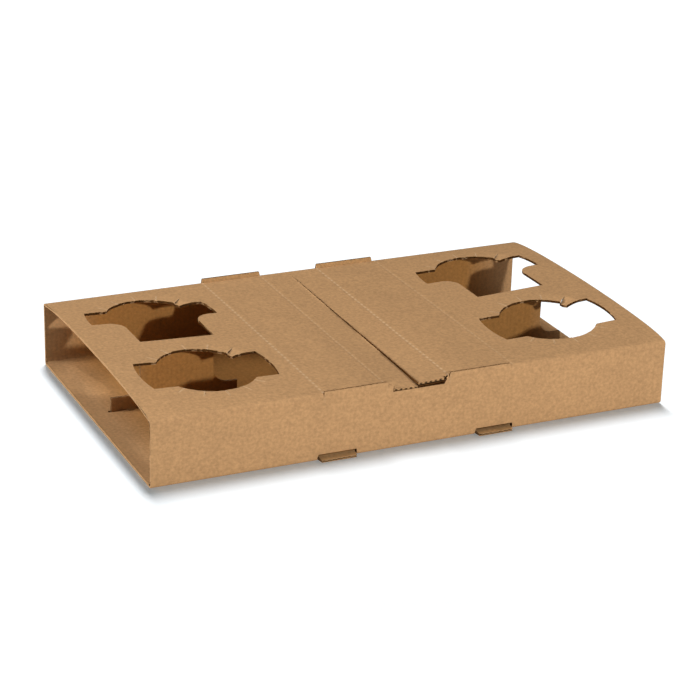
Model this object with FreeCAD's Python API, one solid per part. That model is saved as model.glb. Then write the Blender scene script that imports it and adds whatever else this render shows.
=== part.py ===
import FreeCAD, Part
import math
import os

# Four-cup carrier: one die-cut sheet of thin corrugated board, folded into a low open-ended sleeve.
# Millimetres. X runs along the sleeve, Y to the rear, Z up, and the origin is the middle of the base.

# Sleeve
length = 345.0
width = 203.0
height = 43.0
board = 1.6
inner_fold_radius = 0.6

# The top arches up towards both open ends, with full shoulders, and is flat in the middle
crown_rise = 4.8
crown_start = 52.0
crown_power = 1.3
crown_shoulder = 0.8
crown_stations = 5

# Cup holes: an arc at the front and the rear, and a band with rounded ends that makes two ears.
# All four, with the flaps, lie a little to the right of the sleeve's middle.
hole_end_margin = 54.9
hole_shift_x = 0.85
front_hole_y = -45.1
rear_hole_y = 47.6
front_arc_reach = 31.9
rear_arc_reach = 34.4
arc_half_chord = 24.9
ear_reach = 42.2
ear_end_rise = 2.4
ear_half_height = 19.2

# Rear holes: the sheet in front of the ears is a flap, cut free on three sides and folded down
flap_fold_y = 9.6
flap_foot_y = 10.6
flap_half_width = 24.3
flap_offset_x = 1.5
flap_ear_front = -3.7
flap_corner_radius = 10.0
flap_foot_gap = 0.3
flap_fold_radius = 1.3

# Slots in the base that take the feet of the flaps, each with a small bay towards the front
slot_width = 3.2
slot_end_gap = 1.5
bay_offset = 29.0
bay_width = 5.0
bay_depth = 2.0

# Short relief slits that run out from the arcs of the holes
slit_length = 8.6
slit_width = 0.5
slit_step = 22.5
slit_count = 5

# Handle zone: four creases across the top and a slit between the two inner strips.
# All of it but the outer creases lies a little to the left of the sleeve's middle.
handle_offset_x = -1.2
outer_crease_x = 63.2
inner_crease_x = 20.9
crease_width = 1.0
crease_depth = 0.35
mid_gap = 1.0
mid_gap_rear_y = 91.5

# Finger notch at the middle of the front wall, with the ends of the inner strips bent down over it
notch_half_width = 17.2
notch_floor = 37.6
notch_end_lean = 2.4
left_lip_length = 2.2
left_lip_angle = 60.0
right_lip_length = 3.0
right_lip_angle = 40.0
lip_end_gap = 0.6

# Tabs of the walls that stand above the top, between the inner and outer creases
tab_inner_x = 20.3
tab_outer_x = 62.8
tab_end_lean = 0.8
rear_tab_rise = 2.5
front_tab_rise = 1.4

# Tongues of the base that lie in notches at the foot of the front wall
tongue_inner_x = 41.0
tongue_outer_x = 65.0
tongue_reach = 3.0
tongue_notch_top = 4.2

outer_fold_radius = inner_fold_radius + board
half_length = length / 2
half_width = width / 2
panel_half = half_width - outer_fold_radius
hole_offset_x = half_length - hole_end_margin
above = height + crown_rise + 10.0
below = -5.0
past = 1.0
fold_skim = 0.08


def vec(x, y, z):
    return FreeCAD.Vector(x, y, z)


def line(a, b):
    return Part.LineSegment(a, b).toShape()


def arc(a, middle, b):
    return Part.Arc(a, middle, b).toShape()


def box(x0, x1, y0, y1, z0, z1):
    return Part.makeBox(x1 - x0, y1 - y0, z1 - z0, vec(x0, y0, z0))


def prism(points, travel):
    outline = Part.makePolygon(points + [points[0]])
    return Part.Face(outline).extrude(travel)


def upright(edges):
    return Part.Face(Part.Wire(edges)).extrude(vec(0, 0, above - below))


def corner(y, z, radius, angle):
    """Point at an angle on a fold's circle, in the plane of the left end."""
    turn = math.radians(angle)
    return vec(-half_length, y + radius * math.cos(turn), z + radius * math.sin(turn))


def walls():
    """Base, front wall and rear wall, with their folds and the two folds of the top."""
    low = outer_fold_radius
    high = height - outer_fold_radius
    folds = [(-panel_half, high, 90), (-panel_half, low, 180), (panel_half, low, 270), (panel_half, high, 0)]
    outer = []
    inner = []
    for y, z, start in folds:
        for radius, edges in ((outer_fold_radius, outer), (inner_fold_radius, inner)):
            points = [corner(y, z, radius, start + step) for step in (0, 45, 90)]
            if edges:
                edges.append(line(edges[-1].Vertexes[-1].Point, points[0]))
            edges.append(arc(*points))
    ends = [line(outer[0].Vertexes[0].Point, inner[0].Vertexes[0].Point)]
    ends.append(line(outer[-1].Vertexes[-1].Point, inner[-1].Vertexes[-1].Point))
    profile = Part.Wire(Part.__sortEdges__(outer + inner + ends))
    return Part.Face(profile).extrude(vec(length, 0, 0))


def crown(x):
    """How far the middle of the top is raised at a distance x from the middle of the sleeve."""
    share = (abs(x) - crown_start) / (half_length - crown_start)
    return crown_rise * max(share, 0.0) ** crown_power


def crowned_block(drop):
    """Everything from the underside of the base up to the top's surface, lowered by drop."""
    middle = box(-crown_start, crown_start, -panel_half, panel_half, 0, height - drop)
    blocks = [middle]
    for side in (-1, 1):
        sections = []
        for i in range(crown_stations + 1):
            x = side * (crown_start + (half_length - crown_start) * i / crown_stations)
            edge = height - drop
            ridge = edge + crown(x) / 0.75
            shoulder = crown_shoulder * panel_half
            curve = Part.BezierCurve()
            curve.setPoles([vec(x, -panel_half, edge), vec(x, -shoulder, ridge),
                            vec(x, shoulder, ridge), vec(x, panel_half, edge)])
            foot = Part.makePolygon([curve.EndPoint, vec(x, panel_half, 0), vec(x, -panel_half, 0), curve.StartPoint])
            sections.append(Part.Wire([curve.toShape()] + foot.Edges))
        blocks.append(Part.makeLoft(sections, True, False))
    return blocks[0].fuse(blocks[1:])


def arc_edge(cx, cy, side):
    """Front (side -1) or rear (side 1) arc of a hole, running from its right end to its left."""
    end_y = cy + side * ear_half_height
    reach = front_arc_reach if side < 0 else rear_arc_reach
    right = vec(cx + side * arc_half_chord, end_y, below)
    left = vec(cx - side * arc_half_chord, end_y, below)
    return arc(right, vec(cx, cy + side * reach, below), left)


def stem_x(cx, side):
    """Left (side -1) or right (side 1) edge of the stem of the flap at a hole."""
    return cx + flap_offset_x + side * flap_half_width


def ear_x(offset_y):
    """Half the width of the band of ears at a distance from the middle of the hole."""
    radius = (ear_half_height ** 2 + ear_end_rise ** 2) / (2 * ear_end_rise)
    return ear_reach - radius + math.sqrt(radius ** 2 - offset_y ** 2)


def ear_edge(cx, cy, side, rear, front):
    """Rounded end of an ear, from its rear corner to its front corner, on one side of the hole."""
    middle = (rear + front) / 2
    points = [vec(cx + side * ear_x(y), cy + y, below) for y in (rear, middle, front)]
    return arc(*points)


def front_hole(cx, cy):
    edges = [arc_edge(cx, cy, 1), arc_edge(cx, cy, -1)]
    for side in (-1, 1):
        ear = ear_edge(cx, cy, side, ear_half_height, -ear_half_height)
        edges.append(ear)
        for vertex in (ear.Vertexes[0], ear.Vertexes[-1]):
            edges.append(line(vertex.Point, vec(cx + side * arc_half_chord, vertex.Y, below)))
    return upright(Part.__sortEdges__(edges))


def rear_hole(cx, cy):
    edges = [arc_edge(cx, cy, 1)]
    fold = flap_fold_y - board / 2
    band = cy + flap_ear_front
    for side in (-1, 1):
        ear = ear_edge(cx, cy, side, ear_half_height, flap_ear_front)
        inner = stem_x(cx, side)
        turn = flap_corner_radius * (1 - math.sqrt(0.5))
        start = vec(inner + side * flap_corner_radius, band, below)
        middle = vec(inner + side * turn, band - turn, below)
        end = vec(inner, band - flap_corner_radius, below)
        edges.append(ear)
        edges.append(line(vec(cx + side * arc_half_chord, cy + ear_half_height, below), ear.Vertexes[0].Point))
        edges.append(line(ear.Vertexes[-1].Point, start))
        edges.append(arc(start, middle, end))
        edges.append(line(end, vec(inner, fold, below)))
    edges.append(line(vec(stem_x(cx, -1), fold, below), vec(stem_x(cx, 1), fold, below)))
    return upright(Part.__sortEdges__(edges))


def flap(cx):
    """T-shaped flap that hangs from its fold: a stem, two rounded corners and two ears at the foot."""
    surface = height + crown(cx)
    ear_z = surface - (rear_hole_y + flap_ear_front - flap_fold_y)
    ear_half = ear_x(flap_ear_front)
    turn = flap_corner_radius * (1 - math.sqrt(0.5))
    edges = [line(vec(cx - ear_half, 0, flap_foot_gap), vec(cx + ear_half, 0, flap_foot_gap))]
    edges.append(line(vec(stem_x(cx, -1), 0, above), vec(stem_x(cx, 1), 0, above)))
    for side in (-1, 1):
        inner = stem_x(cx, side)
        start = vec(inner + side * flap_corner_radius, 0, ear_z)
        middle = vec(inner + side * turn, 0, ear_z + turn)
        end = vec(inner, 0, ear_z + flap_corner_radius)
        edges.append(line(vec(cx + side * ear_half, 0, flap_foot_gap), vec(cx + side * ear_half, 0, ear_z)))
        edges.append(line(vec(cx + side * ear_half, 0, ear_z), start))
        edges.append(arc(start, middle, end))
        edges.append(line(end, vec(inner, 0, above)))
    plate = Part.Face(Part.Wire(Part.__sortEdges__(edges))).extrude(vec(0, -board, 0))
    lean = math.degrees(math.atan2(flap_foot_y - flap_fold_y, surface))
    plate.rotate(vec(0, 0, surface), vec(1, 0, 0), lean)
    plate.translate(vec(0, flap_fold_y, 0))
    return plate


def fold_round(cx):
    """What the rounded outside of a flap's fold takes off the square corner."""
    sections = []
    for side in (-1, 1):
        x = stem_x(cx, side)
        z = height + crown(x)
        y = flap_fold_y + past
        r = flap_fold_radius
        turn = math.radians(50)
        middle = vec(x, flap_fold_y - r + r * math.sin(turn), z - r + r * math.cos(turn))
        edges = [arc(vec(x, flap_fold_y - r, z + fold_skim), middle, vec(x, flap_fold_y + fold_skim, z - r))]
        rest = [vec(x, flap_fold_y + fold_skim, z - r), vec(x, y, z - r), vec(x, y, z + past)]
        rest += [vec(x, flap_fold_y - r, z + past), vec(x, flap_fold_y - r, z + fold_skim)]
        sections.append(Part.Wire(edges + Part.makePolygon(rest).Edges))
    return Part.makeLoft(sections, True, True)


def slits(cx, cy, side):
    """Relief slits along one arc of a hole, pointing away from the middle of the hole."""
    reach = front_arc_reach if side < 0 else rear_arc_reach
    rise = reach - ear_half_height
    radius = (arc_half_chord ** 2 + rise ** 2) / (2 * rise)
    shift = reach - radius
    cuts = []
    for i in range(slit_count):
        angle = math.radians(90 + slit_step * (i - (slit_count - 1) / 2))
        run = shift * math.sin(angle)
        start = run + math.sqrt(run ** 2 - shift ** 2 + radius ** 2) - past
        cut = box(start, start + past + slit_length, -slit_width / 2, slit_width / 2, below, above)
        cut.rotate(vec(0, 0, 0), vec(0, 0, 1), side * math.degrees(angle))
        cut.translate(vec(cx, cy, 0))
        cuts.append(cut)
    return cuts


def top_cuts():
    cuts = []
    for side in (-1, 1):
        cx = hole_shift_x + side * hole_offset_x
        cuts.append(front_hole(cx, front_hole_y))
        cuts.append(rear_hole(cx, rear_hole_y).cut(flap(cx)))
        cuts += slits(cx, front_hole_y, 1)
        cuts += slits(cx, front_hole_y, -1)
        cuts += slits(cx, rear_hole_y, 1)
        cuts.append(fold_round(cx))
        for x in (side * outer_crease_x, handle_offset_x + side * inner_crease_x):
            groove = [vec(x - crease_width, -panel_half, height + crease_depth)]
            groove.append(vec(x + crease_width, -panel_half, height + crease_depth))
            groove.append(vec(x, -panel_half, height - crease_depth))
            cuts.append(prism(groove, vec(0, 2 * panel_half, 0)))
    return cuts


def top():
    """The arched top with its holes, slits and creases, and the two flaps that hang from it."""
    flaps = [flap(hole_shift_x - hole_offset_x), flap(hole_shift_x + hole_offset_x)]
    hollow = crowned_block(board).cut(flaps)
    panel = crowned_block(0).cut(hollow)
    holes = [cut.common(box(-half_length, half_length, -half_width, half_width, height - 2 * board, above))
             for cut in top_cuts()]
    return panel.cut(holes)


def base_slots():
    """Slots in the base under the flaps, each with its bay."""
    ear_half = ear_x(flap_ear_front) + slot_end_gap
    middle = flap_foot_y - board / 2
    cuts = []
    for side in (-1, 1):
        cx = hole_shift_x + side * hole_offset_x
        front = middle - slot_width / 2
        slot = box(cx - ear_half, cx + ear_half, front, middle + slot_width / 2, below, board + past)
        bay_x = cx + side * bay_offset
        bay = box(bay_x - bay_width / 2, bay_x + bay_width / 2, front - bay_depth, middle, below, board + past)
        cuts.append(slot.fuse(bay))
    return cuts


def finger_notch():
    """The notch in the front wall, with a leaning right end, and the slit between the inner strips."""
    reach = half_width + past
    left_x = handle_offset_x - notch_half_width
    right_x = handle_offset_x + notch_half_width
    points = [vec(left_x, -reach, notch_floor), vec(right_x, -reach, notch_floor)]
    points += [vec(right_x + notch_end_lean, -reach, height + past), vec(left_x, -reach, height + past)]
    notch = prism(points, vec(0, reach - panel_half, 0))
    gap_x = handle_offset_x - mid_gap / 2
    slit = box(gap_x, gap_x + mid_gap, -reach, mid_gap_rear_y, height - outer_fold_radius, above)
    return [notch, slit]


def lip(side, length_past_bend, angle):
    """End of the left (side -1) or right (side 1) inner strip, bent down over the notch."""
    near = handle_offset_x + side * mid_gap / 2
    far = handle_offset_x + side * (notch_half_width - lip_end_gap)
    pivot_z = height - outer_fold_radius
    edges = []
    for radius in (outer_fold_radius, inner_fold_radius):
        angles = [math.radians(90 + angle * share) for share in (0, 0.5, 1)]
        points = [vec(near, -panel_half + radius * math.cos(t), pivot_z + radius * math.sin(t)) for t in angles]
        edges.append(arc(*points))
    turn = math.radians(angle)
    run = vec(0, -length_past_bend * math.cos(turn), -length_past_bend * math.sin(turn))
    starts = [edge.Vertexes[-1].Point for edge in edges]
    tips = [start + run for start in starts]
    edges += [line(starts[0], tips[0]), line(starts[1], tips[1]), line(tips[0], tips[1])]
    edges.append(line(edges[0].Vertexes[0].Point, edges[1].Vertexes[0].Point))
    profile = Part.Face(Part.Wire(Part.__sortEdges__(edges)))
    return profile.extrude(vec(far - near, 0, 0))


def standing_tab(side, end, rise):
    """Tab of the front (end -1) or rear (end 1) wall, and the piece of the fold that it replaces."""
    inner = handle_offset_x + side * tab_inner_x
    outer = handle_offset_x + side * tab_outer_x
    fold_z = height - outer_fold_radius
    face = end * half_width
    low, high = sorted((inner, outer))
    near, far = sorted((end * (half_width + past), end * (half_width - board - rise)))
    opening = box(low, high, near, far, fold_z, above)
    lean = tab_end_lean
    outline = [vec(low, face, fold_z), vec(high, face, fold_z)]
    outline += [vec(high - lean, face, height + rise), vec(low + lean, face, height + rise)]
    return opening, prism(outline, vec(0, -end * board, 0))


def tongue(side):
    """Tongue of the base that reaches out through a notch at the foot of the front wall."""
    low, high = sorted(handle_offset_x + side * x for x in (tongue_inner_x, tongue_outer_x))
    opening = box(low, high, -half_width - past, -panel_half, -past, tongue_notch_top)
    plate = box(low, high, -half_width - tongue_reach, -panel_half, 0, board)
    return opening, plate


def carrier():
    body = walls().fuse(top())
    openings = base_slots() + finger_notch()
    plates = [lip(-1, left_lip_length, left_lip_angle), lip(1, right_lip_length, right_lip_angle)]
    for side in (-1, 1):
        pairs = [standing_tab(side, 1, rear_tab_rise), standing_tab(side, -1, front_tab_rise), tongue(side)]
        for opening, plate in pairs:
            openings.append(opening)
            plates.append(plate)
    body = body.cut(openings).fuse(plates).removeSplitter()
    if body.ShapeType != "Solid":
        body = body.Solids[0] if len(body.Solids) == 1 else body
    return body


shape = carrier()
print("solids", len(shape.Solids), "valid", shape.isValid(), "faces", len(shape.Faces))
print("volume", round(shape.Volume, 1), "box", shape.BoundBox)
os.makedirs("parts", exist_ok=True)
shape.exportStep("parts/carrier_sleeve.step")
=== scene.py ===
import math
from collections import namedtuple

import bpy
import numpy as np
from mathutils import Matrix, Vector, noise


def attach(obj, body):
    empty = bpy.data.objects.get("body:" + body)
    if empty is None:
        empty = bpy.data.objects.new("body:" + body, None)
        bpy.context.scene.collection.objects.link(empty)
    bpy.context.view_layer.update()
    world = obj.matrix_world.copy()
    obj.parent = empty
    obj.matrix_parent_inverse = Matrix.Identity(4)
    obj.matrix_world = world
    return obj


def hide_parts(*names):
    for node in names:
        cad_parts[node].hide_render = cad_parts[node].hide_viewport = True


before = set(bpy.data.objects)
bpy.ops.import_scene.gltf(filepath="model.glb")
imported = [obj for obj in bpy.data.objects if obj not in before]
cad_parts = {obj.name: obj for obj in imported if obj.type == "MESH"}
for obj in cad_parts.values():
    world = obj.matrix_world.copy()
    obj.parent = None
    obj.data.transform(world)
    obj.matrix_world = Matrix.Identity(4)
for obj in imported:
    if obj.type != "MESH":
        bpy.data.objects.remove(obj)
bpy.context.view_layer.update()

# Sizes are in millimetres until a mesh or a material is made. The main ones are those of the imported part.
MM = 0.001
LENGTH = 345.0
WIDTH = 203.0
HEIGHT = 43.0
BOARD = 1.6
FOLD_OUTER = 2.2
CROWN_RISE = 4.8
CROWN_START = 52.0
CROWN_POWER = 1.3
CROWN_SHOULDER = 0.8
CROWN_STEPS = 800
HALF_X = LENGTH / 2
HALF_Y = WIDTH / 2
PANEL = HALF_Y - FOLD_OUTER
WALL_TOP = HEIGHT - FOLD_OUTER

# Cup holes.
HOLE_X = 117.6
HOLE_SHIFT = 0.85
FRONT_HOLE_Y = -45.1
REAR_HOLE_Y = 47.6
FRONT_ARC = 31.9
REAR_ARC = 34.4
ARC_HALF_CHORD = 24.9
ARC_HALF_TURN = 56.0
ARC_STEPS = 40
EAR_REACH = 42.2
EAR_CORNER = 39.8
EAR_HALF = 19.2
EAR_STEPS = 6
CORNER_STEPS = 8
FRONT_EDGE_SEED = 2.5
REAR_EDGE_SEED = 6.5
SLIT_LENGTH = 8.6
SLIT_WIDTH = 0.05
BENT_SLIT_WIDTH = 0.16
SLIT_STEP = 22.5
SLIT_COUNT = 5
SLIT_OVERLAP = 0.7

# The rear holes' flaps, and the slots of the base in which they stand.
FLAP_FOLD_Y = 9.6
FLAP_FOOT_Y = 10.6
FLAP_FOOT_Z = 0.35
FLAP_HALF = 24.3
FLAP_OFFSET = 1.5
FLAP_EAR_FRONT = -3.7
FLAP_CORNER = 10.0
FLAP_FOLD_OUTER = 1.9
FLAP_ROWS = (8.0, 16.0, 24.0, 32.0, 39.0)
FLAP_TOP_POINTS = 14
FLAP_FOLD_ROWS = 7
SLOT_WIDTH = 2.4
SLOT_END_GAP = 1.5
BAY_OFFSET = 29.0
BAY_WIDTH = 5.0
BAY_DEPTH = 2.2
BAY_SLOPE = 0.6

# The handle zone, with the slit between its strips and the finger notch.
HANDLE_X = -1.2
OUTER_CREASE = 63.2
INNER_CREASE = 20.9
MID_GAP_X = -1.9
MID_GAP_FRONT = 0.42
MID_GAP_BACK = 0.12
MID_GAP_REAR = 91.5
MID_GAP_TIP = -110.0
NOTCH_HALF = 17.2
NOTCH_FLOOR = 37.6
NOTCH_LEAN = 3.2
STRIP_END = -101.4
STRIP_GAP_LEFT = 0.5
STRIP_GAP_RIGHT = 0.4
STRIP_ROWS = (-100.2, -100.8)

# How the strips sag towards the slit and the notch.
SAG_REAR = 0.2
SAG_FRONT = 3.0
SAG_REACH = 12.0
SAG_HINGE = 14.0
STEP_START = 0.05
STEP_FRONT = 2.0
STEP_POWER = 9
PUSH_DEPTH = 2.5
PUSH_RUN = 15.4
PUSH_EDGE = 4.5

# Tabs at the top of the walls, and tongues of the base.
TAB_INNER = 20.3
TAB_OUTER = 62.8
TAB_LEAN = 0.8
TAB_GAP = 0.1
REAR_TAB_RISE = 2.5
FRONT_TAB_RISE = 1.4
TONGUE_INNER = 41.0
TONGUE_OUTER = 65.0
TONGUE_REACH = 3.0
TONGUE_TAPER_LEFT = 0.7
TONGUE_TAPER_RIGHT = 0.5
TONGUE_TOP = 4.2
TONGUE_GAP_LEFT = 1.2
TONGUE_GAP_RIGHT = 0.8
TONGUE_TOP_GAP_LEFT = 0.5
TONGUE_TOP_GAP_RIGHT = 0.6

# The layers of the board.
LINER = 0.3
MEDIUM = 0.28
FLUTE_PITCH = 3.3
FLUTE_COLUMNS = 6
LINER_STEP = 4.0
BEAD_HEIGHT = 0.95
BEAD_SPREAD = 1.6

# Small unevenness of the sheet and of its cut edges.
WANDER = 0.28
WANDER_SCALE = 0.35
NICK = 0.2
NICK_SCALE = (1.1, 0.2)
NICK_SEED = 9
SHEET_WAVE = 0.16
SHEET_WAVE_SCALE = 0.018
SHEET_CALM = 12.0
SHEET_SEED = 3.0
BULGE = 0.25
BULGE_SCALE = 0.013
BULGE_INWARD = 0.1
FRONT_SEED = 5.0
REAR_SEED = 8.0
CREASE_DEPTH = 0.09
CREASE_SPREAD = 0.7
RIDGE_RISE = 0.04
RIDGE_OFFSET = 1.9
RIDGE_SPREAD = 0.9
CREASE_COLUMNS = (0.0, 0.45, 1.0, 1.9, 3.2)
CREASES = (-OUTER_CREASE, HANDLE_X - INNER_CREASE, HANDLE_X + INNER_CREASE, OUTER_CREASE)

# How many rows of points a fine sheet has and a plain one, and the degrees from row to row of a fold.
TOP_ROWS = (27, 9)
WALL_ROWS = (5, 3)
BASE_ROWS = (9, 3)
FOLD_STEPS = (18, 30)

# Extra rows of a fine sheet, beside the folds and over the teeth of the holes. Those over the teeth, and
# the columns they cover, are measured from the middle of the hole.
NEAR_FOLD = (0.7, 1.5, 2.4, 3.5)
TOOTH_COLUMNS = (12, 41)
FRONT_TOOTH_ROWS = (17, 42)
REAR_TOOTH_ROWS = (17, 43)
TOOTH_ROW_STEP = 2.2

# How far openings are drawn past the edge they cut, and when points, rows or columns are the same.
PAST = 1
FOLD_PAST = 5
WELD = 0.02
SAME_ROW = 0.03
SAME_COLUMN = 0.012
TINY = 1e-4

# The slope of the top is measured over this step, and kept within these limits along and across.
SLOPE_STEP = 0.2
SLOPE_LIMITS = (0.4, 0.6)

# What lies nearer than this to a fold or to an open end counts as beside it.
FOLD_MARGIN = 1.0
END_MARGIN = 0.5

# How far the small teeth between the slits hang at their tips, from the right end of an arc to its left.
# Each arc is named by its row of holes, the left (-1) or right (1) hole, and the front (-1) or rear (1) arc.
TEETH = {
    ("front", -1, 1): (1.7, 0.5, 0.25, 0.15, 0.3, 0.25),
    ("front", 1, 1): (2.6, 0.6, 0.3, 0.2, 0.2, 0.3),
    ("rear", -1, 1): (1.6, 0.5, 0.3, 0.15, 0.3, 0.2),
    ("rear", 1, 1): (1.4, 0.4, 0.25, 0.2, 0.25, 0.2),
    ("front", -1, -1): (0.2, 0.35, 0.15, 0.3, 0.2, 0.15),
    ("front", 1, -1): (0.2, 0.3, 0.35, 0.15, 0.3, 0.2),
}

# Where teeth can lie about the middle of a hole, and the degrees over which the outermost ones fade out.
TOOTH_HALF_WIDTH = 45
TOOTH_BAND = (15, 48)
TOOTH_FADE = (24.0, 41.0)


# The flat pattern.

def smooth(a, b, x):
    """A soft step, from 0 at a to 1 at b."""
    t = min(max((x - a) / (b - a), 0.0), 1.0)
    return t * t * (3 - 2 * t)


def sweep(cx, cy, radius, start, stop, count):
    """Points of an arc, by angles in degrees."""
    turns = [math.radians(start + (stop - start) * i / count) for i in range(count + 1)]
    return [(cx + radius * math.cos(t), cy + radius * math.sin(t)) for t in turns]


def rectangle(x0, x1, v0, v1):
    return [(x0, v0), (x1, v0), (x1, v1), (x0, v1)]


def arc_circle(side):
    """Radius and middle of the circle of a hole's front (-1) or rear (1) arc."""
    reach = FRONT_ARC if side < 0 else REAR_ARC
    rise = reach - EAR_HALF
    radius = (ARC_HALF_CHORD ** 2 + rise ** 2) / (2 * rise)
    return radius, reach - radius


def arc_reach(side, angle):
    """Distance from a hole's middle to its arc, in the direction of an angle in radians."""
    radius, shift = arc_circle(side)
    run = shift * math.sin(angle)
    return run + math.sqrt(run ** 2 - shift ** 2 + radius ** 2)


def hole_arc(cx, cy, side):
    """The front (-1) or rear (1) arc of a hole, from its left end to its right end."""
    radius, shift = arc_circle(side)
    turns = [ARC_HALF_TURN * (2 * i / ARC_STEPS - 1) for i in range(ARC_STEPS + 1)]
    whole = math.sin(math.radians(ARC_HALF_TURN))
    offsets = [ARC_HALF_CHORD * math.sin(math.radians(t)) / whole for t in turns]
    return [(cx + x, cy + side * (shift + math.sqrt(radius ** 2 - x ** 2))) for x in offsets]


def ear_x(y):
    depth = EAR_REACH - EAR_CORNER
    radius = (EAR_HALF ** 2 + depth ** 2) / (2 * depth)
    return EAR_REACH - radius + math.sqrt(radius ** 2 - y ** 2)


def ear_end(cx, cy, side, start, stop):
    """The rounded end of an ear, from one offset in y to another."""
    offsets = [start + (stop - start) * i / EAR_STEPS for i in range(EAR_STEPS + 1)]
    return [(cx + side * ear_x(y), cy + y) for y in offsets]


def rough(points, seed):
    """Cut edges of board aren't quite clean: small wander along an outline."""
    moved = []
    for x, y in points:
        wander = WANDER * noise.noise(Vector((x * WANDER_SCALE, y * WANDER_SCALE, seed)))
        wander += NICK * noise.noise(Vector((x * NICK_SCALE[0], y * NICK_SCALE[1], seed + NICK_SEED)))
        moved.append((x, y + wander))
    return moved


def hole_middle(side):
    return HOLE_SHIFT + side * HOLE_X


def front_hole(cx):
    cy = FRONT_HOLE_Y
    points = hole_arc(cx, cy, 1)
    points += ear_end(cx, cy, 1, EAR_HALF, -EAR_HALF)
    points += hole_arc(cx, cy, -1)[::-1]
    points += ear_end(cx, cy, -1, -EAR_HALF, EAR_HALF)
    return points


def stem_edges(cx):
    return cx + FLAP_OFFSET - FLAP_HALF, cx + FLAP_OFFSET + FLAP_HALF


def rear_hole(cx):
    cy = REAR_HOLE_Y
    left, right = stem_edges(cx)
    band = cy + FLAP_EAR_FRONT
    fold = FLAP_FOLD_Y - FLAP_FOLD_OUTER
    points = hole_arc(cx, cy, 1)
    points += ear_end(cx, cy, 1, EAR_HALF, FLAP_EAR_FRONT)
    points += sweep(right + FLAP_CORNER, band - FLAP_CORNER, FLAP_CORNER, 90, 180, CORNER_STEPS)
    points += [(right, fold), (left, fold)]
    points += sweep(left - FLAP_CORNER, band - FLAP_CORNER, FLAP_CORNER, 0, 90, CORNER_STEPS)
    points += ear_end(cx, cy, -1, FLAP_EAR_FRONT, EAR_HALF)
    return points


def slits(cx, cy, side):
    """Thin cuts fanned round an arc. The one beside the bent tooth stands open a little."""
    cuts = []
    for i in range(SLIT_COUNT):
        angle = math.radians(90 + SLIT_STEP * (i - (SLIT_COUNT - 1) / 2))
        start = arc_reach(side, angle) - SLIT_OVERLAP
        stop = start + SLIT_LENGTH + SLIT_OVERLAP
        c, s = math.cos(angle), math.sin(angle)
        w = (BENT_SLIT_WIDTH if side > 0 and i == 0 else SLIT_WIDTH) / 2
        corners = [(start, -w), (stop, -w), (stop, w), (start, w)]
        cuts.append([(cx + a * c - b * s, cy + side * (a * s + b * c)) for a, b in corners])
    return cuts


def tooth_drop(x, y):
    """How far a tooth between two slits hangs at this point."""
    for (row, end, side), drops in TEETH.items():
        u = x - HOLE_SHIFT - end * HOLE_X
        v = side * (y - (FRONT_HOLE_Y if row == "front" else REAR_HOLE_Y))
        if abs(u) > TOOTH_HALF_WIDTH or v < TOOTH_BAND[0] or v > TOOTH_BAND[1]:
            continue
        angle = math.atan2(v, u)
        depth = (math.hypot(u, v) - arc_reach(side, angle)) / SLIT_LENGTH
        if depth >= 1:
            continue
        degrees = math.degrees(angle)
        first = 90 - SLIT_STEP * (SLIT_COUNT + 1) / 2
        sector = min(max(int((degrees - first) // SLIT_STEP), 0), SLIT_COUNT)
        fade = 1.0
        if sector == 0:
            fade = smooth(TOOTH_FADE[0], TOOTH_FADE[1], degrees)
        if sector == SLIT_COUNT:
            fade = smooth(180 - TOOTH_FADE[0], 180 - TOOTH_FADE[1], degrees)
        return drops[sector] * fade * min(1 - depth, 1.0)
    return 0.0


def tab_spans():
    return [sorted((HANDLE_X + side * TAB_INNER, HANDLE_X + side * TAB_OUTER)) for side in (-1, 1)]


def tongue_spans():
    return [sorted((HANDLE_X + side * TONGUE_INNER, HANDLE_X + side * TONGUE_OUTER)) for side in (-1, 1)]


def notch_span():
    return HANDLE_X - NOTCH_HALF, HANDLE_X + NOTCH_HALF


# Where the pattern lies in space: a point of the outer face, and the outward direction there.

# The arch across the top is a cubic curve from fold to fold. Its two handles stand near the folds.
_T = np.linspace(0, 1, CROWN_STEPS + 1)
_Y = -PANEL * (1 - _T) ** 3 - 3 * CROWN_SHOULDER * PANEL * _T * (1 - _T) ** 2
_Y = _Y + 3 * CROWN_SHOULDER * PANEL * _T ** 2 * (1 - _T) + PANEL * _T ** 3
_Z = 4 * _T * (1 - _T)


def crown(x, y):
    share = max((abs(x) - CROWN_START) / (HALF_X - CROWN_START), 0.0)
    return CROWN_RISE * share ** CROWN_POWER * float(np.interp(y, _Y, _Z))


def strip_drop(x, y):
    """Both inner strips sag towards the slit, the left one more, and its end is pushed in."""
    left, right = HANDLE_X - INNER_CREASE, HANDLE_X + INNER_CREASE
    if x <= left - SAG_REACH or x >= right + SAG_REACH:
        return 0.0
    run = min(max((MID_GAP_REAR - y) / (MID_GAP_REAR - STRIP_END), 0.0), 1.0)
    sag = SAG_REAR + (SAG_FRONT - SAG_REAR) * run
    step = STEP_START + STEP_FRONT * run ** STEP_POWER
    fade = smooth(PANEL, PANEL - SAG_HINGE, y)
    if x > MID_GAP_X:
        whole = (right + SAG_REACH - x) / (right + SAG_REACH - MID_GAP_X)
        inner = max((right - x) / (right - MID_GAP_X), 0.0)
        return fade * (sag * whole - step / 2 * inner)
    whole = (x - left + SAG_REACH) / (MID_GAP_X - left + SAG_REACH)
    inner = max((x - left) / (MID_GAP_X - left), 0.0)
    push = PUSH_DEPTH * smooth(left, left + PUSH_EDGE, x) * (1 - inner)
    push *= max((STRIP_END + PUSH_RUN - y) / PUSH_RUN, 0.0) ** 2
    return fade * (sag * whole + step / 2 * inner) + push


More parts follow.
